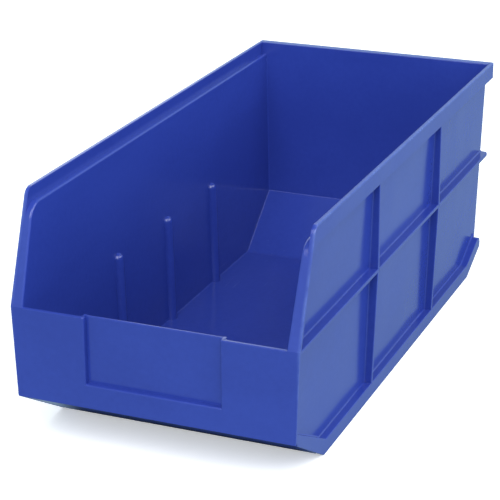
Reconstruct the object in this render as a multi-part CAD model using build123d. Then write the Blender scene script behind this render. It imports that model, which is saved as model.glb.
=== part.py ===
from build123d import *
import math
import os

# Stackable shelf bin with a cut-down front.
# The real bin is one plastic moulding. It is drawn here as the regions that make it up:
# each region is a closed solid that meets its neighbours face to face.
# Millimetres. X runs across the bin, Y from the front panel to the back, Z up.
# While the regions are drawn, Y is measured from the face of the front panel. The
# finished bin is then moved so that the origin is the centre of its base.

# Overall size
LENGTH = 457.0
WIDTH = 210.0
HEIGHT = 178.0

# Thickness of the plates
WALL = 2.4
FLOOR = 2.0
FLANGE = 2.8
FIN = 3.0
LIP = 2.4

# Side walls and back wall, set in from the rim and leaning inwards towards the floor
WALL_SETBACK = 5.0
WALL_DRAFT = 1.5
REAR_FLANGE = 8.1
BACK_DRAFT = 1.1

# Rim: the stacking ledge lies below the top, inside a raised border
LEDGE_DROP = 10.0
LEDGE_EDGE_RADIUS = 1.6
LEDGE_BEND_RADIUS = 15.0
RIM_CORNER_RADIUS = 8.0
REAR_CORNER_RADIUS = 2.0

# Base: a bin stands on its skirts, which drop between the borders of the bin below
BASE_INSET = 3.7
STACK_CLEARANCE = 0.3
SKIRT_HEIGHT = 11.5
SKIRT_WEB = 2.4
SKIRT_PLATE = 2.2
SKIRT_CORNER_RADIUS = 4.0
TAIL_RUN = 35.4
TAIL_RISE = 16.5
TAIL_CORNER_RADIUS = 6.0
RUNNER_HEIGHT = 1.0
RUNNER_WIDTH = 6.0
RUNNER_SPACING = 78.0

# Front: an upright panel, a sloping opening above it and a bevelled nose below it
FRONT_HEIGHT = 101.5
FRONT_BOTTOM = 34.9
FRONT_CORNER_RADIUS = 1.2
OPENING_SLOPE = 20.0
NOSE_RUN = 58.3

# The skirts go on up the nose as a band: its height at the front panel, and how far
# behind the foot of the nose its top meets the level skirt
NOSE_BAND_HEIGHT = 8.6
NOSE_BAND_LEAD = 2.7

# Label recess in the front panel, open at the top
LABEL_WIDTH = 99.4
LABEL_BOTTOM = 52.5
LABEL_DEPTH = 4.4
LABEL_WALL = 2.2
LABEL_EDGE_RADIUS = 1.3

# Ramp at the back of the floor
RAMP_RUN = 54.2
RAMP_HEIGHT = 42.7

# Fins on the outside of the side walls; the level one lies level with the front panel's top
UPRIGHT_FIN_START = 156.8
UPRIGHT_FIN_SPACING = 148.2
LEVEL_FIN_TIP_RADIUS = 4.0

# Guide ribs on the inside of the side walls
GUIDE_RIB_RADIUS = 4.6
GUIDE_RIB_TOP = 90.0
GUIDE_RIB_START = 144.2
GUIDE_RIB_SPACING = 87.5

# Rounding of free edges
EDGE = 0.6
TOP_EDGE = 0.8

# Margin by which cutting solids run past what they cut
PAST = 20.0

# Directions
ACROSS = Vector(1, 0, 0)
BACKWARDS = Vector(0, 1, 0)
UP = Vector(0, 0, 1)

# Sizes that follow from the ones above
HALF_WIDTH = WIDTH / 2
BASE_HALF = HALF_WIDTH - BASE_INSET
LEDGE_TOP = HEIGHT - LEDGE_DROP
LEDGE_BOTTOM = LEDGE_TOP - FLANGE
PANEL = FLANGE / math.cos(math.radians(OPENING_SLOPE))
SLOPE_RATE = math.tan(math.radians(OPENING_SLOPE))
DRAFT_RATE = math.tan(math.radians(WALL_DRAFT))
BACK_RATE = math.tan(math.radians(BACK_DRAFT))
NOSE_RATE = FRONT_BOTTOM / NOSE_RUN
FLOOR_TOP = RUNNER_HEIGHT + FLOOR
BACK_FACE = LENGTH - REAR_FLANGE
BACK_OUTSIDE = BACK_FACE + WALL
BACK_FOOT = BACK_FACE - (LEDGE_BOTTOM - RAMP_HEIGHT) * BACK_RATE
RAMP_RATE = (RAMP_HEIGHT - FLOOR_TOP) / RAMP_RUN
TAIL_RATE = TAIL_RISE / TAIL_RUN
SKIRT_START = NOSE_RUN + NOSE_BAND_LEAD
BAND_FRONT = FRONT_BOTTOM + NOSE_BAND_HEIGHT
BAND_RATE = (BAND_FRONT - SKIRT_HEIGHT) / SKIRT_START


def wall_outside(z):
    """Half the width over the side walls at height z."""
    return HALF_WIDTH - WALL_SETBACK - (LEDGE_TOP - z) * DRAFT_RATE


def wall_inside(z):
    """Half the width between the side walls at height z."""
    return wall_outside(z) - WALL


def envelope(z):
    """Half the overall width at height z: upright above the front panel, tapered below."""
    drop = max(0.0, FRONT_HEIGHT - z)
    return HALF_WIDTH - BASE_INSET * drop / FRONT_HEIGHT


BORDER_INSIDE = envelope(0) + BASE_INSET * LEDGE_DROP / FRONT_HEIGHT + STACK_CLEARANCE


def slope_y(z):
    """Distance of the opening's sloping plane from the front at height z."""
    return (z - FRONT_HEIGHT) * SLOPE_RATE


def nose_z(y):
    """Height of the bevelled underside of the nose."""
    return FRONT_BOTTOM - y * NOSE_RATE


def nose_y(z):
    """Distance of the bevelled underside from the front at height z."""
    return (FRONT_BOTTOM - z) / NOSE_RATE


def band_z(y):
    """Height of the top of the band along the nose."""
    return BAND_FRONT - y * BAND_RATE


def closed_face(points, radii=0.0):
    """A face with straight sides and the given corner radii."""
    return make_face(FilletPolyline(*points, radius=radii, close=True))


def along_x(points, start, end, radii=0.0):
    """Extrude an outline drawn in (y, z) from x = start to x = end."""
    face = Plane.YZ * closed_face(points, radii)
    return Pos(start, 0, 0) * extrude(face, amount=end - start)


def along_y(points, start, end, radii=0.0):
    """Extrude an outline drawn in (x, z) from y = start to y = end."""
    plane = Plane(origin=(0, end, 0), x_dir=(1, 0, 0), z_dir=(0, -1, 0))
    return extrude(plane * closed_face(points, radii), amount=end - start)


def block(x_range, y_range, z_range):
    """A box between two corners."""
    size = [end - start for start, end in (x_range, y_range, z_range)]
    middle = [(start + end) / 2 for start, end in (x_range, y_range, z_range)]
    return Pos(*middle) * Box(*size)


def rounded(part, radius, test):
    """Round the edges that pass a test of their middle point and of the edge itself."""
    return fillet([edge for edge in part.edges() if test(edge @ 0.5, edge)], radius)


def points_along(edge, axis):
    """True for an edge that runs along the given axis at its middle, give or take its draft."""
    return abs((edge % 0.5).dot(axis)) > 0.9


def near(a, b):
    """True for two lengths that are the same to within a hundredth of a millimetre."""
    return abs(a - b) < 0.01


def between_walls():
    """The space between the inner faces of the two side walls."""
    low, high = -PAST, HEIGHT + PAST
    points = [
        (-wall_inside(low), low),
        (wall_inside(low), low),
        (wall_inside(high), high),
        (-wall_inside(high), high),
    ]
    return along_y(points, -PAST, LENGTH + PAST)


def above_base():
    """Everything above the nose bevel and the ground."""
    points = [
        (-PAST, nose_z(-PAST)),
        (NOSE_RUN, 0),
        (LENGTH + PAST, 0),
        (LENGTH + PAST, HEIGHT + PAST),
        (-PAST, HEIGHT + PAST),
    ]
    return along_x(points, -WIDTH, WIDTH)


# Side view of the side walls, which also bounds what stands on them
TAIL_START = BACK_FOOT - TAIL_RUN
OUTSIDE_AT_GROUND = BACK_FOOT + WALL - RAMP_HEIGHT * BACK_RATE
TAIL_END = (OUTSIDE_AT_GROUND - TAIL_START * TAIL_RATE * BACK_RATE) / (1 - TAIL_RATE * BACK_RATE)
WALL_OUTLINE = [
    (PANEL, nose_z(PANEL)),
    (nose_y(RUNNER_HEIGHT), RUNNER_HEIGHT),
    (TAIL_START + RUNNER_HEIGHT / TAIL_RATE, RUNNER_HEIGHT),
    (TAIL_END, (TAIL_END - TAIL_START) * TAIL_RATE),
    (BACK_OUTSIDE, LEDGE_BOTTOM),
    (PANEL + slope_y(LEDGE_BOTTOM), LEDGE_BOTTOM),
    (PANEL, FRONT_HEIGHT),
]
WALL_RADII = [0, 0, 0, 0, 0, LEDGE_BEND_RADIUS - FLANGE, 0]


def side_wall():
    """One drafted side wall, from the front panel to the back."""
    low, high = -PAST, HEIGHT + PAST
    section = [
        (wall_inside(low), low),
        (wall_outside(low), low),
        (wall_outside(high), high),
        (wall_inside(high), high),
    ]
    slab = along_y(section, -PAST, LENGTH + PAST)
    return slab & along_x(WALL_OUTLINE, 0, WIDTH, WALL_RADII)


def outside_the_wall(y_range, z_range):
    """The space between a side wall and the envelope, within the given ranges."""
    low, high = z_range
    section = [(wall_outside(low), low), (envelope(low), low)]
    if low < FRONT_HEIGHT < high:
        section.append((envelope(FRONT_HEIGHT), FRONT_HEIGHT))
    section += [(envelope(high), high), (wall_outside(high), high)]
    return along_y(section, *y_range)


def web_space(y_range, z_range):
    """The outermost part of that space, as thick as the skirt's web."""
    low, high = z_range
    section = [
        (envelope(low) - SKIRT_WEB, low),
        (envelope(low), low),
        (envelope(high), high),
        (envelope(high) - SKIRT_WEB, high),
    ]
    return along_y(section, *y_range)


# Floor, nose and ramp are one bent plate between the side walls
NOSE_LIFT = FLOOR * math.hypot(1, NOSE_RATE)
RAMP_LIFT = FLOOR * math.hypot(1, RAMP_RATE)
NOSE_CREASE = nose_y(FLOOR_TOP - NOSE_LIFT)
RAMP_CREASE = BACK_FOOT - RAMP_RUN
UNDER_NOSE_CREASE = nose_y(RUNNER_HEIGHT)
UNDER_RAMP_CREASE = RAMP_CREASE + (RAMP_LIFT - FLOOR) / RAMP_RATE

# Where the underside of the ramp meets the leaning face of the back wall
FOOT_STEP = RAMP_LIFT * BACK_RATE / (1 - RAMP_RATE * BACK_RATE)
UNDER_FOOT = (BACK_FOOT - FOOT_STEP, RAMP_HEIGHT - RAMP_LIFT - FOOT_STEP * RAMP_RATE)


def base_plate(points):
    """A plate between the side walls, with its outline drawn in (y, z)."""
    return along_x(points, -WIDTH, WIDTH) & between_walls()


def floor_panel():
    """The level floor."""
    return base_plate(
        [
            (UNDER_NOSE_CREASE, RUNNER_HEIGHT),
            (UNDER_RAMP_CREASE, RUNNER_HEIGHT),
            (RAMP_CREASE, FLOOR_TOP),
            (NOSE_CREASE, FLOOR_TOP),
        ]
    )


def nose_panel():
    """The bevelled plate from the front panel down to the floor."""
    return base_plate(
        [
            (PANEL, nose_z(PANEL)),
            (UNDER_NOSE_CREASE, RUNNER_HEIGHT),
            (NOSE_CREASE, FLOOR_TOP),
            (PANEL, nose_z(PANEL) + NOSE_LIFT),
        ]
    )


def rear_ramp_panel():
    """The ramp from the floor up to the back wall."""
    return base_plate(
        [
            (UNDER_RAMP_CREASE, RUNNER_HEIGHT),
            UNDER_FOOT,
            (BACK_FOOT, RAMP_HEIGHT),
            (RAMP_CREASE, FLOOR_TOP),
        ]
    )


def above_floor():
    """Everything above the level floor and the ramp, up to the top of the bin."""
    points = [
        (0, FLOOR_TOP),
        (RAMP_CREASE, FLOOR_TOP),
        (BACK_FOOT, RAMP_HEIGHT),
        (BACK_FOOT, HEIGHT),
        (0, HEIGHT),
    ]
    return along_x(points, 0, WIDTH)


def back_wall():
    """The back wall, from the underside of the ramp to the rim."""
    return base_plate(
        [
            UNDER_FOOT,
            (UNDER_FOOT[0] + WALL, UNDER_FOOT[1]),
            (BACK_OUTSIDE, LEDGE_BOTTOM),
            (BACK_FACE, LEDGE_BOTTOM),
        ]
    )


# The rim's bend from the sloping opening to the level ledge turns about one centre
BEND_TANGENT = LEDGE_BEND_RADIUS * math.tan(math.radians(90 - OPENING_SLOPE) / 2)
BEND_CENTRE = (slope_y(LEDGE_TOP) + BEND_TANGENT, LEDGE_TOP - LEDGE_BEND_RADIUS)
BEND_OUTWARD = (
    BEND_CENTRE[0] - (LEDGE_BEND_RADIUS + PAST) * math.cos(math.radians(OPENING_SLOPE)),
    BEND_CENTRE[1] + (LEDGE_BEND_RADIUS + PAST) * math.sin(math.radians(OPENING_SLOPE)),
)


def rim_side():
    """The ledge, its raised border and the slope flange of the right side, in one solid."""
    ledge_outline = [
        (0, FRONT_HEIGHT),
        (slope_y(LEDGE_TOP), LEDGE_TOP),
        (BACK_FACE, LEDGE_TOP),
        (BACK_FACE, LEDGE_BOTTOM),
        (PANEL + slope_y(LEDGE_BOTTOM), LEDGE_BOTTOM),
        (PANEL, FRONT_HEIGHT),
    ]
    ledge_radii = [0, LEDGE_BEND_RADIUS, 0, 0, LEDGE_BEND_RADIUS - FLANGE, 0]
    ledge = along_x(ledge_outline, 0, HALF_WIDTH, ledge_radii) - between_walls()
    border_outline = [
        (0, FRONT_HEIGHT),
        (slope_y(HEIGHT), HEIGHT),
        (BACK_FACE, HEIGHT),
        (BACK_FACE, FRONT_HEIGHT),
    ]
    under_ledge_outline = [
        (0, FRONT_HEIGHT),
        (slope_y(LEDGE_TOP), LEDGE_TOP),
        (BACK_FACE, LEDGE_TOP),
        (BACK_FACE, FRONT_HEIGHT),
    ]
    border = along_x(border_outline, BORDER_INSIDE, HALF_WIDTH, [0, RIM_CORNER_RADIUS, 0, 0])
    under_ledge = along_x(under_ledge_outline, 0, WIDTH, [0, LEDGE_BEND_RADIUS, 0, 0])
    return ledge + (border - under_ledge)


def rim_rear():
    """The flange across the back with its turned-down lip."""
    across = (-HALF_WIDTH, HALF_WIDTH)
    header = block(across, (BACK_FACE, BACK_OUTSIDE), (LEDGE_BOTTOM, HEIGHT))
    top = block(across, (BACK_FACE, LENGTH), (HEIGHT - FLANGE, HEIGHT))
    lip = block(across, (LENGTH - LIP, LENGTH), (LEDGE_BOTTOM, HEIGHT))
    end = block((BORDER_INSIDE, HALF_WIDTH), (BACK_FACE, LENGTH), (LEDGE_BOTTOM, HEIGHT))
    return header + top + lip + end + mirror(end, about=Plane.YZ)


def rim():
    """The whole rim with its rounded edges, before it is divided."""
    side = rim_side()
    whole = rim_rear() + side + mirror(side, about=Plane.YZ)

    def rear_corner(middle, edge):
        at_corner = near(abs(middle.X), HALF_WIDTH) and near(middle.Y, LENGTH)
        return at_corner and points_along(edge, UP)

    whole = rounded(whole, REAR_CORNER_RADIUS, rear_corner)

    def inner_edge(middle, edge):
        on_wall = near(abs(middle.X), wall_inside(middle.Z)) and not points_along(edge, ACROSS)
        on_slope = near(middle.Y, slope_y(middle.Z)) and middle.Z > FRONT_HEIGHT + 1
        on_ledge = near(middle.Z, LEDGE_TOP)
        from_centre = math.hypot(middle.Y - BEND_CENTRE[0], middle.Z - BEND_CENTRE[1])
        on_bend = near(from_centre, LEDGE_BEND_RADIUS) and middle.Y < BEND_CENTRE[0]
        return on_wall and (on_slope or on_ledge or on_bend)

    whole = rounded(whole, LEDGE_EDGE_RADIUS, inner_edge)

    def outer_edge(middle, edge):
        at_side = near(abs(middle.X), HALF_WIDTH)
        at_back = middle.Y > LENGTH - REAR_CORNER_RADIUS
        on_top = near(middle.Z, HEIGHT)
        on_slope = near(middle.Y, slope_y(middle.Z))
        return (on_top and (at_side or at_back)) or (on_slope and at_side)

    return rounded(whole, EDGE, outer_edge)


def rim_regions():
    """Divide the rim into ledges, borders, corners, slope flanges and rear flange."""
    whole = rim()
    high = HEIGHT + PAST
    start = BEND_CENTRE[0]
    corner_zone = along_x([BEND_CENTRE, BEND_OUTWARD, (-PAST, high), (start, high)], 0, WIDTH)
    slope_zone = along_x([BEND_CENTRE, BEND_OUTWARD, (-PAST, 0), (start, 0)], 0, WIDTH)
    ledge_zone = block((0, BORDER_INSIDE), (start, BACK_FACE), (0, high))
    border_zone = block((BORDER_INSIDE, WIDTH), (start, LENGTH - LIP), (0, high))
    header_zone = block((-BORDER_INSIDE, BORDER_INSIDE), (BACK_FACE, BACK_OUTSIDE), (0, high))
    top_zone = block((-BORDER_INSIDE, BORDER_INSIDE), (BACK_OUTSIDE, LENGTH - LIP), (0, high))
    lip_zone = block((-WIDTH, WIDTH), (LENGTH - LIP, LENGTH + PAST), (0, high))

    def top_inside(middle, edge):
        return near(middle.Z, HEIGHT) and near(middle.X, BORDER_INSIDE)

    def top_front(middle, edge):
        return near(middle.Z, HEIGHT) and near(middle.Y, BACK_FACE)

    single = {
        "back_header": rounded(whole & header_zone, EDGE, top_front),
        "rear_flange": whole & top_zone,
        "rear_lip": whole & lip_zone,
    }
    paired = {
        "ledge": whole & ledge_zone,
        "rim_border": rounded(whole & border_zone, EDGE, top_inside),
        "rim_corner": whole & corner_zone,
        "slope_flange": whole & slope_zone,
    }
    return single, paired


def front_blank():
    """The front panel over its full width, before the label recess is cut."""
    low = nose_z(PANEL)
    points = [
        (-envelope(low), low),
        (envelope(low), low),
        (HALF_WIDTH, FRONT_HEIGHT),
        (-HALF_WIDTH, FRONT_HEIGHT),
    ]
    corner = FRONT_CORNER_RADIUS + FRONT_BOTTOM - low
    blank = along_y(points, 0, PANEL, [corner, corner, 0, 0]) & above_base()

    def front_edge(middle, edge):
        return near(middle.Y, 0) and middle.Z < FRONT_HEIGHT - 1

    return rounded(blank, EDGE, front_edge)


def front_regions():
    """The front panel around the label recess, and the recess itself."""
    blank = front_blank()
    inside = between_walls()
    half_label = LABEL_WIDTH / 2
    thick = (-PAST, PANEL + PAST)
    opening = block((-half_label, half_label), thick, (LABEL_BOTTOM, HEIGHT))

    def opening_edge(middle, edge):
        across = near(middle.Z, LABEL_BOTTOM)
        upright = near(abs(middle.X), half_label) and middle.Z > LABEL_BOTTOM
        return near(middle.Y, 0) and (across or upright)

    middle_part = rounded((blank & inside) - opening, LABEL_EDGE_RADIUS, opening_edge)
    flange = (blank - inside) & block((0, WIDTH), thick, (0, HEIGHT))
    lower = middle_part & block((-WIDTH, WIDTH), thick, (0, LABEL_BOTTOM))
    beside = middle_part & block((0, WIDTH), thick, (LABEL_BOTTOM, HEIGHT))

    def top_long_edge(middle, edge):
        return near(middle.Z, FRONT_HEIGHT) and points_along(edge, ACROSS)

    beside = rounded(beside, TOP_EDGE, top_long_edge)
    back = LABEL_DEPTH + LABEL_WALL
    heights = (LABEL_BOTTOM, FRONT_HEIGHT)
    label_back = block((-half_label, half_label), (LABEL_DEPTH, back), heights)
    label_back = rounded(label_back, TOP_EDGE, top_long_edge)
    sill_width = (-half_label - LABEL_WALL, half_label + LABEL_WALL)
    sill = block(sill_width, (PANEL, back), (LABEL_BOTTOM - LABEL_WALL, LABEL_BOTTOM))
    cheek = block((half_label, half_label + LABEL_WALL), (PANEL, back), heights)
    single = {
        "front_panel_lower": lower,
        "label_back": label_back,
        "label_sill": sill,
    }
    paired = {
        "front_flange": flange,
        "front_panel_upper": beside,
        "label_cheek": cheek,
    }
    return single, paired


def upright_fin(start):
    """An upright fin outside the side wall, from the skirt to the rim."""
    fin = outside_the_wall((start, start + FIN), (SKIRT_HEIGHT, LEDGE_BOTTOM))

    def outer_edge(middle, edge):
        return near(middle.X, envelope(middle.Z)) and points_along(edge, UP)

    return rounded(fin, EDGE, outer_edge)


# The level fin ends on the outside of the back wall, at the height of the fin's underside
LEVEL_FIN_END = BACK_OUTSIDE - (LEDGE_BOTTOM - FRONT_HEIGHT + FIN) * BACK_RATE


def level_fin(start, end):
    """A stretch of the level fin outside the side wall; the last one has a round corner."""
    fin = outside_the_wall((start, end), (FRONT_HEIGHT - FIN, FRONT_HEIGHT))

    def tip_edge(middle, edge):
        return near(middle.Y, end) and points_along(edge, UP) and middle.X > BASE_HALF

    def outer_edge(middle, edge):
        return near(middle.X, envelope(middle.Z)) and points_along(edge, BACKWARDS)

    if end == LEVEL_FIN_END:
        fin = rounded(fin, LEVEL_FIN_TIP_RADIUS, tip_edge)
    return rounded(fin, EDGE, outer_edge)


def fins():
    """The fins of the right side: two upright, and the level one in three stretches."""
    first = UPRIGHT_FIN_START
    second = first + UPRIGHT_FIN_SPACING
    return {
        "upright_fin_front": upright_fin(first),
        "upright_fin_rear": upright_fin(second),
        "level_fin_front": level_fin(PANEL, first),
        "level_fin_middle": level_fin(first + FIN, second),
        "level_fin_rear": level_fin(second + FIN, LEVEL_FIN_END),
    }


TAIL_ANGLE = math.atan(TAIL_RATE)
TAIL_CREASE = TAIL_START - SKIRT_HEIGHT * math.tan(TAIL_ANGLE / 2)
TAIL_TOP = SKIRT_HEIGHT + (BACK_FOOT - TAIL_CREASE) * TAIL_RATE


def outer_long_edge(middle, edge):
    """True for an edge that runs along the outside of a fin or skirt, level or sloping."""
    along = edge % 0.5
    return near(middle.X, envelope(middle.Z)) and along.dot(BACKWARDS) ** 2 > 0.5


def nose_band():
    """The band along the nose on the right side: an outer web and the plate inside it."""
    space = (0, LENGTH), (0, BAND_FRONT)
    web_outline = [
        (PANEL, nose_z(PANEL)),
        (NOSE_RUN, 0),
        (SKIRT_START, 0),
        (SKIRT_START, SKIRT_HEIGHT),
        (PANEL, band_z(PANEL)),
    ]
    web = web_space(*space) & along_x(web_outline, 0, WIDTH, [0, SKIRT_CORNER_RADIUS, 0, 0, 0])
    lift = SKIRT_PLATE * math.hypot(1, BAND_RATE)
    plate_outline = [
        (PANEL, band_z(PANEL) - lift),
        (SKIRT_START, SKIRT_HEIGHT - lift),
        (SKIRT_START, SKIRT_HEIGHT),
        (PANEL, band_z(PANEL)),
    ]
    plate = outside_the_wall(*space) & along_x(plate_outline, 0, WIDTH) - web_space(*space)
    return {"nose_band_web": rounded(web, EDGE, outer_long_edge), "nose_band_plate": plate}


def skirt():
    """The base of the right side: a plate with a web outside it, and a raised tail."""
    run = (SKIRT_START, TAIL_CREASE)
    web = web_space(run, (0, SKIRT_HEIGHT))
    under_plate = SKIRT_HEIGHT - SKIRT_PLATE
    plate = outside_the_wall(run, (under_plate, SKIRT_HEIGHT)) - web
    tail_outline = [
        (TAIL_CREASE, 0),
        (TAIL_START, 0),
        (BACK_FOOT, TAIL_RISE),
        (BACK_FOOT, TAIL_TOP),
        (TAIL_CREASE, SKIRT_HEIGHT),
    ]
    tail = outside_the_wall((0, LENGTH), (0, TAIL_TOP))
    tail = tail & along_x(tail_outline, 0, WIDTH, [0, 0, 0, TAIL_CORNER_RADIUS, 0])

    def outer_tail_edge(middle, edge):
        return near(middle.X, envelope(middle.Z)) and not near(middle.Y, TAIL_CREASE)

    return {
        "skirt_web": rounded(web, EDGE, outer_long_edge),
        "skirt_plate": plate,
        "skirt_tail": rounded(tail, EDGE, outer_tail_edge),
    }


def floor_runner():
    """A low runner under the floor, bevelled at its front end and level with the skirts."""
    centre = RUNNER_SPACING / 2
    points = [
        (NOSE_RUN, 0),
        (UNDER_RAMP_CREASE, 0),
        (UNDER_RAMP_CREASE, RUNNER_HEIGHT),
        (UNDER_NOSE_CREASE, RUNNER_HEIGHT),
    ]
    return along_x(points, centre - RUNNER_WIDTH / 2, centre + RUNNER_WIDTH / 2)


def guide_rib(y):
    """A half-round rib with a domed top, leaning with the inside of the right wall."""
    dome = GUIDE_RIB_TOP - GUIDE_RIB_RADIUS
    post = Cylinder(GUIDE_RIB_RADIUS, dome, align=(Align.CENTER, Align.CENTER, Align.MIN))
    rib = post + Pos(0, 0, dome) * Sphere(GUIDE_RIB_RADIUS)
    rib = Pos(wall_inside(0), y, 0) * Rot(0, WALL_DRAFT, 0) * rib
    return rib & between_walls() & above_floor()


def guide_ribs():
    """The three guide ribs of the right side."""
    return {
        f"guide_rib_{name}": guide_rib(GUIDE_RIB_START + i * GUIDE_RIB_SPACING)
        for i, name in enumerate(("front", "middle", "rear"))
    }


def all_regions():
    """Every region by name; the paired ones are made on the right and mirrored."""
    single, paired = rim_regions()
    front_single, front_paired = front_regions()
    single.update(front_single)
    paired.update(front_paired)
    single["floor_panel"] = floor_panel()
    single["nose_panel"] = nose_panel()
    single["rear_ramp_panel"] = rear_ramp_panel()
    single["back_wall"] = back_wall()
    paired["side_wall"] = side_wall()
    paired["floor_runner"] = floor_runner()
    paired.update(fins())
    paired.update(nose_band())
    paired.update(skirt())
    paired.update(guide_ribs())
    regions = dict(single)
    for name, region in paired.items():
        regions[f"{name}_right"] = region
        regions[f"{name}_left"] = mirror(region, about=Plane.YZ)
    return regions


os.makedirs("parts", exist_ok=True)
for node, region in all_regions().items():
    export_step(Pos(0, -LENGTH / 2, 0) * region, f"parts/{node}.step")
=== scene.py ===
import math

import bmesh
import bpy
from mathutils import Matrix, Vector


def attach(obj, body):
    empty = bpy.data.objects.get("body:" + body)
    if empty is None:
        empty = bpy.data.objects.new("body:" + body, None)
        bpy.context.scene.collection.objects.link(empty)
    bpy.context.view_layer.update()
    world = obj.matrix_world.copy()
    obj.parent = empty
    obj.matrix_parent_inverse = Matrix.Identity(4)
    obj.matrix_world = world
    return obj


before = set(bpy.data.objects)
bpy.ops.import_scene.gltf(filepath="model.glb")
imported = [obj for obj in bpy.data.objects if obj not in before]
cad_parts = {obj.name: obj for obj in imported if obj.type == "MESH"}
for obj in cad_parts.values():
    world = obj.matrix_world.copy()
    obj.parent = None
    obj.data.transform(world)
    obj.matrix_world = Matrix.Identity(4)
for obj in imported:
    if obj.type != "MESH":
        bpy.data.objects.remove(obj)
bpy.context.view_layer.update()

# Stackable shelf bin in blue polypropylene.
# The frame is in metres, Z up, with the front at -Y. The sizes of the bin below are in
# millimetres, measured as on the bin: half widths from its middle, heights from the
# ground, and depths from the front panel to the back.

MM = 0.001

# The bin
HALF_LENGTH = 228.5
HALF_WIDTH = 105.0
HEIGHT = 178.0
FRONT_HEIGHT = 101.5
SLOPE = math.tan(math.radians(20))
PANEL = 2.98
WALL = 2.4
WALL_INSIDE_AT_BASE = 93.2
WALL_DRAFT = math.tan(math.radians(1.5))
FLOOR_TOP = 3.0
LEDGE_BOTTOM = 165.2
SKIRT_HEIGHT = 11.5
FIN = 3.0
UPRIGHT_FINS = {"front": 156.8, "rear": 305.0}
LEVEL_FIN_END = 450.0

# The label recess: its half width, the underside of its sill, its walls and its back
LABEL_HALF_WIDTH = 49.7
LABEL_FOOT = 50.3
LABEL_WALL = 2.2
LABEL_BACK = 6.6

SIDES = {"right": 1, "left": -1}

# Creases inside the bin, from near the top of the front panel down over the nose, along
# the floor, up the ramp and up the back wall: (depth, height) and the radius of the bend
INSIDE_LINE = [
    ((PANEL, FRONT_HEIGHT - 0.9), 0),
    ((PANEL, 35.45), 6.0),
    ((57.18, FLOOR_TOP), 9.0),
    ((392.35, FLOOR_TOP), 7.0),
    ((446.55, 42.7), 1.6),
    ((448.9, LEDGE_BOTTOM), 0),
]

# The bends of that line that also run across the bin, by their place in it
BENDS = {"nose_top": 1, "nose_foot": 2, "ramp_foot": 3, "ramp_top": 4}
BEND_REACH = 30.0

# Top of the skirt, from the front panel down the nose, level, and up the tail
SKIRT_LINE = [
    ((PANEL, 41.94), 0),
    ((61.0, SKIRT_HEIGHT), 0),
    ((408.6, SKIRT_HEIGHT), 0),
    ((444.0, 28.0), 0),
]

# Blends: radius inside the bin, the stretch over which it runs out at the top and the
# share of it that is left there, and radius at the roots of the fins and the skirt
CREASE_RADIUS = 0.9
CREASE_TAPER = 4.0
CREASE_LEAST = 0.12
ROOT_RADIUS = 1.1

# Blends beside the label recess: how far they stay short of its back, how far below the
# top of the front panel they start to narrow and end, and by how much they narrow
LABEL_BLEND_SHORT = 0.5
LABEL_BLEND_SHOULDER = 0.8
LABEL_BLEND_TOP = 0.3
LABEL_BLEND_NARROWS = 0.4

# Blends: how far they sink into the walls that they join, and how far their curve stands
# off the walls at its ends
SUNK = 0.25
PROUD = 0.015

# Meshes: steps in a quarter turn, largest turn in one step of a bend, the distance in
# metres below which two points are one, and the angle from which an edge is sharp
ARC_STEPS = 6
BEND_STEP = math.radians(8)
TINY = 1e-7
SHARP_ANGLE = math.radians(50)

# Blue plastic: its darker and lighter flow marks, and its lighter colour where it is rubbed,
# which on the outer edges is also a painted highlight
BLUE_DARK = (0.0215, 0.0410, 0.275, 1)
BLUE_LIGHT = (0.0265, 0.0505, 0.318, 1)
BLUE_RUBBED_HIGHLIGHT = (0.16, 0.24, 0.56, 1)
RUBBED_HIGHLIGHT_SHARE = 0.30
SCUFFED_SHARE = 0.28
SATIN_ROUGHNESS = (0.15, 0.20)
SPECKLE_ROUGHNESS = 0.015
WORN_ROUGHNESS = 0.35
PLASTIC_IOR = 1.53

# Blue plastic: scale of each pattern, in features to the metre
PATCH_SCALE = 60.0
FLOW_SCALE = (7.0, 3.2, 11.0)
MOTTLE_SCALE = 260.0
SCUFF_SCALE = (420.0, 26.0, 760.0)
SPECKLE_SCALE = 520.0
GRAIN_SCALE = 700.0
PEEL_SCALE = 190.0
SINKING_SCALE = 17.0

# Floor: what the camera sees, and what lights the bin and shows in its gloss
FLOOR_REACH = 40.0
PAPER_SCALE = 40.0
FLOOR_SEEN = ((0.90, 0.90, 0.90, 1), (0.92, 0.92, 0.92, 1))
FLOOR_SEEN_GLOW = 0.42
FLOOR_UNSEEN = ((0.11, 0.15, 0.17, 1), (0.12, 0.16, 0.18, 1))
FLOOR_BOUNCE = (0.54, 0.78, 1, 1)
FLOOR_BOUNCE_GLOW = 0.41

# Surroundings: colour of their light, its strength near the horizon and overhead, and
# the heights on a unit sphere between which it changes
WHITE = (1, 1, 1, 1)
SKY_COLOUR = (0.66, 0.89, 1.0, 1)
SKY_LOW = 0.88
SKY_HIGH = 0.26
SKY_CHANGE = (0.25, 0.85)

# Lamps that look at the bin: place and size in metres, and power in watts
LAMP_AIM = (0, 0, 0.08)
LAMPS = {
    "soft_right": ((1.7, 0.05, 1.3), 2.0, 37),
    "soft_high": ((0.37, -2.3, 2.45), 2.6, 105),
    "soft_back": ((-1.6, 1.4, 1.3), 2.2, 15),
}

# Camera: place in metres, angles in degrees, lens and sensor in millimetres
CAMERA_PLACE = (0.4782, -1.2151, 0.5758)
CAMERA_YAW = 22.424
CAMERA_PITCH = 20.95
CAMERA_ROLL = 0.269
CAMERA_LENS = 130.5
CAMERA_SENSOR = 36.0
CAMERA_CLIP = (0.05, 200.0)


def metres(x, depth, z):
    """A point of the frame from millimetres across, from the front and up."""
    return Vector((x, depth - HALF_LENGTH, z)) * MM


def wall_inside(z):
    """Half the width between the side walls at height z."""
    return WALL_INSIDE_AT_BASE + z * WALL_DRAFT


def wall_outside(z):
    """Half the width over the side walls at height z."""
    return wall_inside(z) + WALL


# Materials

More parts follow.
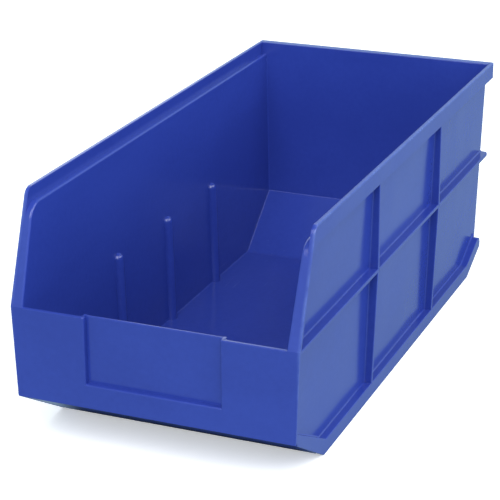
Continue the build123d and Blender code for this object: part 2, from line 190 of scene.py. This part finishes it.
class Nodes:
    """Short calls that add nodes to one material or world."""

    def __init__(self, owner):
        owner.use_nodes = True
        self.tree = owner.node_tree
        self.tree.nodes.clear()

    def add(self, kind, inputs=None, **settings):
        node = self.tree.nodes.new(kind)
        for key, value in settings.items():
            setattr(node, key, value)
        for key, value in (inputs or {}).items():
            self.feed(node.inputs[key], value)
        return node

    def feed(self, socket, value):
        if isinstance(value, bpy.types.NodeSocket):
            self.tree.links.new(value, socket)
        else:
            socket.default_value = value

    def math(self, operation, a, b=0.0, c=0.0, clamp=False):
        settings = {"operation": operation, "use_clamp": clamp}
        return self.add("ShaderNodeMath", {0: a, 1: b, 2: c}, **settings).outputs[0]

    def axes(self, place):
        """The three coordinates of a place."""
        outputs = self.add("ShaderNodeSeparateXYZ", {0: place}).outputs
        return outputs["X"], outputs["Y"], outputs["Z"]

    def stretched(self, place, scale):
        """A place scaled along each axis."""
        return self.add("ShaderNodeMapping", {"Vector": place, "Scale": scale}).outputs[0]

    def noise(self, place, scale, detail, roughness):
        inputs = {"Vector": place, "Scale": scale, "Detail": detail, "Roughness": roughness}
        return self.add("ShaderNodeTexNoise", inputs).outputs["Fac"]

    def ramp(self, value, low, high, to_low=0.0, to_high=1.0):
        """A smooth step of a value between two limits."""
        inputs = {"Value": value, "From Min": low, "From Max": high}
        inputs.update({"To Min": to_low, "To Max": to_high})
        node = self.add("ShaderNodeMapRange", inputs, interpolation_type="SMOOTHSTEP")
        return node.outputs["Result"]

    def mix(self, factor, a, b):
        """A colour between two others."""
        node = self.add("ShaderNodeMix", data_type="RGBA")
        self.feed(node.inputs[0], factor)
        self.feed(node.inputs[6], a)
        self.feed(node.inputs[7], b)
        return node.outputs[2]

    def by_ray(self, seen, unseen):
        """One shader for what the camera sees directly and another for all other light."""
        direct = self.add("ShaderNodeLightPath").outputs["Is Camera Ray"]
        return self.add("ShaderNodeMixShader", {0: direct, 1: unseen, 2: seen}).outputs[0]


def outer_edges(n, place):
    """How near a place is to an outer edge of the bin: 1 on the edge, 0 from about 2 mm."""
    x, y, z = n.axes(place)
    side = n.ramp(n.math("ABSOLUTE", x), (HALF_WIDTH - 2.5) * MM, (HALF_WIDTH - 0.4) * MM)
    top = n.ramp(z, (HEIGHT - 2.0) * MM, (HEIGHT - 0.4) * MM)
    rear = n.ramp(y, (HALF_LENGTH - 1.7) * MM, (HALF_LENGTH - 0.3) * MM)
    ground = n.ramp(z, 2.2 * MM, 0.4 * MM)
    front = n.ramp(y, -(HALF_LENGTH - 1.8) * MM, -(HALF_LENGTH - 0.4) * MM)
    slope_at_ground = -(HALF_LENGTH + FRONT_HEIGHT * SLOPE) * MM
    behind_slope = n.math("SUBTRACT", y, n.math("MULTIPLY_ADD", z, SLOPE, slope_at_ground))
    slope = n.ramp(behind_slope, 2.2 * MM, 0.4 * MM)
    forward = n.math("MAXIMUM", slope, front)
    edges = n.math("MULTIPLY", side, top)
    for a, b in ((side, rear), (top, rear), (side, forward), (side, ground)):
        edges = n.math("MAXIMUM", edges, n.math("MULTIPLY", a, b))
    return edges


def low_scuffs(n, place):
    """Fine scuffs along the bin, mostly near the ground."""
    marks = n.noise(n.stretched(place, SCUFF_SCALE), 1.0, 3.0, 0.55)
    height = n.axes(place)[2]
    low_down = n.ramp(height, 60 * MM, 4 * MM)
    return n.math("MULTIPLY", n.ramp(marks, 0.66, 0.78), n.ramp(low_down, 0.0, 1.0, 0.12, 0.6))


def plastic():
    """Blue moulded polypropylene: fine grain, slight sinking, flow shades, and rubbed edges that
    are lighter partly from wear and partly as a painted highlight.
    """
    material = bpy.data.materials.new("blue_polypropylene")
    n = Nodes(material)
    place = n.add("ShaderNodeTexCoord").outputs["Object"]

    # Wear and painted highlight: outer edges rubbed lighter in patches, which also paints the
    # highlight along them, and scuffs
    patchy = n.ramp(n.noise(place, PATCH_SCALE, 4.0, 0.55), 0.35, 0.68, 0.35, 1.0)
    # The lighter rubbed edges are partly wear and partly a painted highlight along the outer
    # edges
    rubbed_and_highlit = n.math("MULTIPLY", outer_edges(n, place), patchy)
    scuffs = low_scuffs(n, place)
    rubbed_highlight_part = n.math("MULTIPLY", rubbed_and_highlit, RUBBED_HIGHLIGHT_SHARE)
    wear_and_highlight = n.math("MAXIMUM", rubbed_highlight_part, n.math("MULTIPLY", scuffs, SCUFFED_SHARE))

    # Colour: broad flow marks and a fine mottle, paler where worn and where the edge highlight
    # is painted
    flow = n.noise(n.stretched(place, FLOW_SCALE), 1.0, 4.0, 0.55)
    mottle = n.noise(place, MOTTLE_SCALE, 3.0, 0.6)
    shade = n.math("ADD", n.math("MULTIPLY", flow, 0.7), n.math("MULTIPLY", mottle, 0.3))
    blue = n.mix(n.ramp(shade, 0.33, 0.67), BLUE_DARK, BLUE_LIGHT)
    colour = n.mix(wear_and_highlight, blue, BLUE_RUBBED_HIGHLIGHT)

    # Gloss: satin with a fine speckle, duller where worn
    satin = n.ramp(flow, 0.30, 0.70, *SATIN_ROUGHNESS)
    speckle_noise = n.noise(place, SPECKLE_SCALE, 2.0, 0.5)
    speckle = n.ramp(speckle_noise, 0.3, 0.7, -SPECKLE_ROUGHNESS, SPECKLE_ROUGHNESS)
    gloss = n.math("ADD", satin, speckle)
    roughness = n.math("ADD", gloss, n.math("MULTIPLY", wear_and_highlight, WORN_ROUGHNESS), clamp=True)

    # Relief, as (height, strength, depth): moulded grain, an orange-peel waviness,
    # shallow sinking of the broad faces, and the scuffs
    layers = [
        (n.noise(place, GRAIN_SCALE, 2.0, 0.55), 0.025, 0.08 * MM),
        (n.noise(place, PEEL_SCALE, 2.0, 0.5), 0.05, 0.2 * MM),
        (n.noise(place, SINKING_SCALE, 1.0, 0.4), 0.30, 3.0 * MM),
        (scuffs, 0.15, -0.08 * MM),
    ]
    normal = {}
    for height, strength, depth in layers:
        inputs = {"Height": height, "Strength": strength, "Distance": depth}
        normal = {"Normal": n.add("ShaderNodeBump", {**inputs, **normal}).outputs[0]}

    inputs = {"Base Color": colour, "Roughness": roughness, "IOR": PLASTIC_IOR}
    shader = n.add("ShaderNodeBsdfPrincipled", {**inputs, **normal})
    n.add("ShaderNodeOutputMaterial", {"Surface": shader.outputs[0]})
    return material


def studio_floor():
    """Pale matt floor, white to the camera except where the bin shades it."""
    material = bpy.data.materials.new("pale_floor")
    n = Nodes(material)
    place = n.add("ShaderNodeTexCoord").outputs["Object"]
    paper = n.ramp(n.noise(place, PAPER_SCALE, 4.0, 0.6), 0.3, 0.7)

    def surface(colours, glow, strength):
        matt = n.add("ShaderNodeBsdfDiffuse", {"Color": n.mix(paper, *colours)})
        light = n.add("ShaderNodeEmission", {"Color": glow, "Strength": strength})
        return n.add("ShaderNodeAddShader", {0: matt.outputs[0], 1: light.outputs[0]}).outputs[0]

    # Under the bin the floor gives no light of its own
    x, y, _ = n.axes(place)
    beside = n.ramp(n.math("ABSOLUTE", x), 80 * MM, 110 * MM)
    beyond = n.ramp(n.math("ABSOLUTE", y), 195 * MM, 235 * MM)
    bounce = n.math("MULTIPLY", n.math("MAXIMUM", beside, beyond), FLOOR_BOUNCE_GLOW)
    seen = surface(FLOOR_SEEN, WHITE, FLOOR_SEEN_GLOW)
    unseen = surface(FLOOR_UNSEEN, FLOOR_BOUNCE, bounce)
    n.add("ShaderNodeOutputMaterial", {"Surface": n.by_ray(seen, unseen)})
    return material


# Blends in the bin's creases and at the roots of its fins

def rounded_line(line):
    """Points along a line of straight runs and bends, each with its direction to the left."""
    corners = [Vector(point) for point, _ in line]
    samples = []
    for i, (corner, (_, radius)) in enumerate(zip(corners, line)):
        before = (corner - corners[i - 1]).normalized() if i else None
        after = (corners[i + 1] - corner).normalized() if i + 1 < len(corners) else None
        if before is None or after is None:
            along = after or before
            samples.append((corner, Vector((-along.y, along.x))))
            continue
        turn = -before.angle_signed(after)
        if radius == 0:
            middle = (before + after).normalized()
            samples.append((corner, Vector((-middle.y, middle.x)) / math.cos(turn / 2)))
            continue
        reach = radius * math.tan(abs(turn) / 2)
        start = corner - before * reach
        centre = start + Vector((-before.y, before.x)) * radius
        steps = max(3, math.ceil(abs(turn) / BEND_STEP))
        for k in range(steps + 1):
            out = Matrix.Rotation(turn * k / steps, 2) @ (start - centre)
            samples.append((centre + out, -out.normalized()))
    return samples


def near_top_ends(samples):
    """The same line with points added close to its two top ends, where the blend runs out."""

    def beside(end, neighbour):
        step = (neighbour[0] - end[0]).normalized() * CREASE_TAPER
        return [(end[0] + step * share, end[1]) for share in (0.25, 0.5, 1.0)]

    first, last = samples[0], samples[-1]
    at_front = beside(first, samples[1])
    at_back = beside(last, samples[-2])
    return [first, *at_front, *samples[1:-1], *reversed(at_back), last]


def mesh_piece(name, rings):
    """A closed tube of blue plastic through rings of points, with a face at each end."""
    bm = bmesh.new()
    rows = [[bm.verts.new(point) for point in ring] for ring in rings]
    count = len(rows[0])
    for one, two in zip(rows, rows[1:]):
        for k in range(count):
            m = (k + 1) % count
            bm.faces.new((one[k], one[m], two[m], two[k]))
    bm.faces.new(rows[0])
    bm.faces.new(rows[-1])
    bmesh.ops.remove_doubles(bm, verts=bm.verts, dist=TINY)
    bmesh.ops.dissolve_degenerate(bm, edges=bm.edges, dist=TINY)
    bmesh.ops.recalc_face_normals(bm, faces=bm.faces)
    mesh = bpy.data.meshes.new(name)
    bm.to_mesh(mesh)
    bm.free()
    mesh.materials.append(PLASTIC)
    mesh.shade_smooth()
    mesh.set_sharp_from_angle(angle=SHARP_ANGLE)
    piece = bpy.data.objects.new(name, mesh)
    bpy.context.scene.collection.objects.link(piece)
    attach(piece, "root")


def concave_section(radius):
    """Outline of a fillet in an inside corner, as (off the wall, off the other face)."""
    section = [(radius, -SUNK)]
    for k in range(ARC_STEPS + 1):
        t = math.pi / 2 * k / ARC_STEPS
        section.append((radius * (1 - math.sin(t)) + PROUD, radius * (1 - math.cos(t)) + PROUD))
    return section + [(-SUNK, radius), (-SUNK, -SUNK)]


def wall_blend(name, side, samples, radii, face):
    """A fillet along a side wall: the samples give its line and the way off the other face."""
    rings = []
    for (point, off), radius in zip(samples, radii):
        ring = []
        for from_wall, from_face in concave_section(radius):
            place = point + off * from_face
            ring.append(metres(SIDES[side] * face(place.y, from_wall), place.x, place.y))
        rings.append(ring)
    mesh_piece(f"{name}_{side}", rings)


def side_blend(side):
    """The rounded crease between one side wall and everything that it meets inside."""
    samples = near_top_ends(rounded_line(INSIDE_LINE))
    radii = []
    for point, _ in samples:
        to_end = min((point - samples[0][0]).length, (point - samples[-1][0]).length)
        share = math.sin(min(1.0, to_end / CREASE_TAPER) * math.pi / 2)
        radii.append(CREASE_RADIUS * max(CREASE_LEAST, share))
    wall_blend("crease_blend", side, samples, radii, lambda z, away: wall_inside(z) - away)


def root_blends(side):
    """Small fillets where the fins and the skirt stand on the outside of one wall."""
    up, down = Vector((0, 1)), Vector((0, -1))
    forwards, backwards = Vector((-1, 0)), Vector((1, 0))
    level_ends = PANEL, LEVEL_FIN_END
    upright_ends = SKIRT_HEIGHT, LEDGE_BOTTOM
    lines = {
        "root_blend_level_top": [(Vector((y, FRONT_HEIGHT)), up) for y in level_ends],
        "root_blend_level_under": [(Vector((y, FRONT_HEIGHT - FIN)), down) for y in level_ends],
        "root_blend_skirt": rounded_line(SKIRT_LINE),
    }
    for name, start in UPRIGHT_FINS.items():
        for way, depth, off in (("fore", start, forwards), ("aft", start + FIN, backwards)):
            samples = [(Vector((depth, z)), off) for z in upright_ends]
            lines[f"root_blend_{name}_fin_{way}"] = samples
    for name, samples in lines.items():
        radii = [ROOT_RADIUS] * len(samples)
        wall_blend(name, side, samples, radii, lambda z, away: wall_outside(z) + away)


def label_blend(side):
    """A fillet behind the front panel, beside one cheek of the label recess."""
    radius = LABEL_BACK - PANEL - LABEL_BLEND_SHORT
    corner = LABEL_HALF_WIDTH + LABEL_WALL
    stations = [
        (LABEL_FOOT, radius),
        (FRONT_HEIGHT - LABEL_BLEND_SHOULDER, radius),
        (FRONT_HEIGHT - LABEL_BLEND_TOP, radius - LABEL_BLEND_NARROWS),
    ]
    rings = []
    for z, own_radius in stations:
        ring = []
        for out, back in concave_section(own_radius):
            ring.append(metres(SIDES[side] * (corner + out), PANEL + back, z))
        rings.append(ring)
    mesh_piece(f"root_blend_label_{side}", rings)


def cross_blend(bend):
    """The rounded crease across the bin at one bend of the inside line."""
    corner = Vector(INSIDE_LINE[BENDS[bend]][0])
    samples = [s for s in rounded_line(INSIDE_LINE) if (s[0] - corner).length < BEND_REACH]
    outline = [point + into * PROUD for point, into in samples]
    first, last = samples[0], samples[-1]
    bisector = (first[1] + last[1]).normalized()
    outline.insert(0, first[0] - first[1] * SUNK)
    outline += [last[0] - last[1] * SUNK, corner - bisector * SUNK]
    rings = []
    for share in (-1.0, -0.5, 0.0, 0.5, 1.0):
        rings.append([metres(share * (wall_inside(p.y) + SUNK), p.x, p.y) for p in outline])
    mesh_piece(f"crease_blend_{bend}", rings)


PLASTIC = plastic()
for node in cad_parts.values():
    node.data.materials.clear()
    node.data.materials.append(PLASTIC)

for one_side in SIDES:
    side_blend(one_side)
    root_blends(one_side)
    label_blend(one_side)
for one_bend in BENDS:
    cross_blend(one_bend)


# Studio: floor, pale surroundings, the camera and soft lamps

def floor():
    """A wide level floor under the bin."""
    bm = bmesh.new()
    corners = [(-1, -1), (1, -1), (1, 1), (-1, 1)]
    bm.faces.new([bm.verts.new((x * FLOOR_REACH, y * FLOOR_REACH, 0.0)) for x, y in corners])
    mesh = bpy.data.meshes.new("floor")
    bm.to_mesh(mesh)
    bm.free()
    mesh.materials.append(studio_floor())
    piece = bpy.data.objects.new("floor", mesh)
    bpy.context.scene.collection.objects.link(piece)


def surroundings():
    """Pale surroundings, white to the camera, brighter near the horizon than overhead."""
    world = bpy.data.worlds.new("studio")
    n = Nodes(world)
    height = n.axes(n.add("ShaderNodeTexCoord").outputs["Generated"])[2]
    strength = n.ramp(height, *SKY_CHANGE, SKY_LOW, SKY_HIGH)
    unseen = n.add("ShaderNodeBackground", {"Color": SKY_COLOUR, "Strength": strength})
    seen = n.add("ShaderNodeBackground", {"Color": WHITE, "Strength": 1.0})
    both = n.by_ray(seen.outputs[0], unseen.outputs[0])
    n.add("ShaderNodeOutputWorld", {"Surface": both})
    bpy.context.scene.world = world


def camera():
    """The camera at the photograph's viewing angle."""
    data = bpy.data.cameras.new("camera")
    data.lens = CAMERA_LENS
    data.sensor_width = CAMERA_SENSOR
    data.clip_start, data.clip_end = CAMERA_CLIP
    piece = bpy.data.objects.new("camera", data)
    turn = Matrix.Rotation(math.radians(CAMERA_YAW), 4, "Z")
    tilt = Matrix.Rotation(math.radians(90 - CAMERA_PITCH), 4, "X")
    roll = Matrix.Rotation(math.radians(-CAMERA_ROLL), 4, "Z")
    piece.matrix_world = Matrix.Translation(CAMERA_PLACE) @ turn @ tilt @ roll
    bpy.context.scene.collection.objects.link(piece)
    bpy.context.scene.camera = piece


def softbox(name, place, size, power):
    """A square soft lamp that looks at the bin and isn't seen by the camera."""
    lamp = bpy.data.lights.new(name, "AREA")
    lamp.shape = "SQUARE"
    lamp.size = size
    lamp.energy = power
    piece = bpy.data.objects.new(name, lamp)
    piece.location = place
    piece.visible_camera = False
    away = Vector(LAMP_AIM) - Vector(place)
    piece.rotation_euler = away.to_track_quat("-Z", "Y").to_euler()
    bpy.context.scene.collection.objects.link(piece)


floor()
surroundings()
camera()
for lamp_name, (lamp_place, lamp_size, lamp_power) in LAMPS.items():
    softbox(lamp_name, lamp_place, lamp_size, lamp_power)

bpy.context.scene.view_settings.view_transform = "Standard"
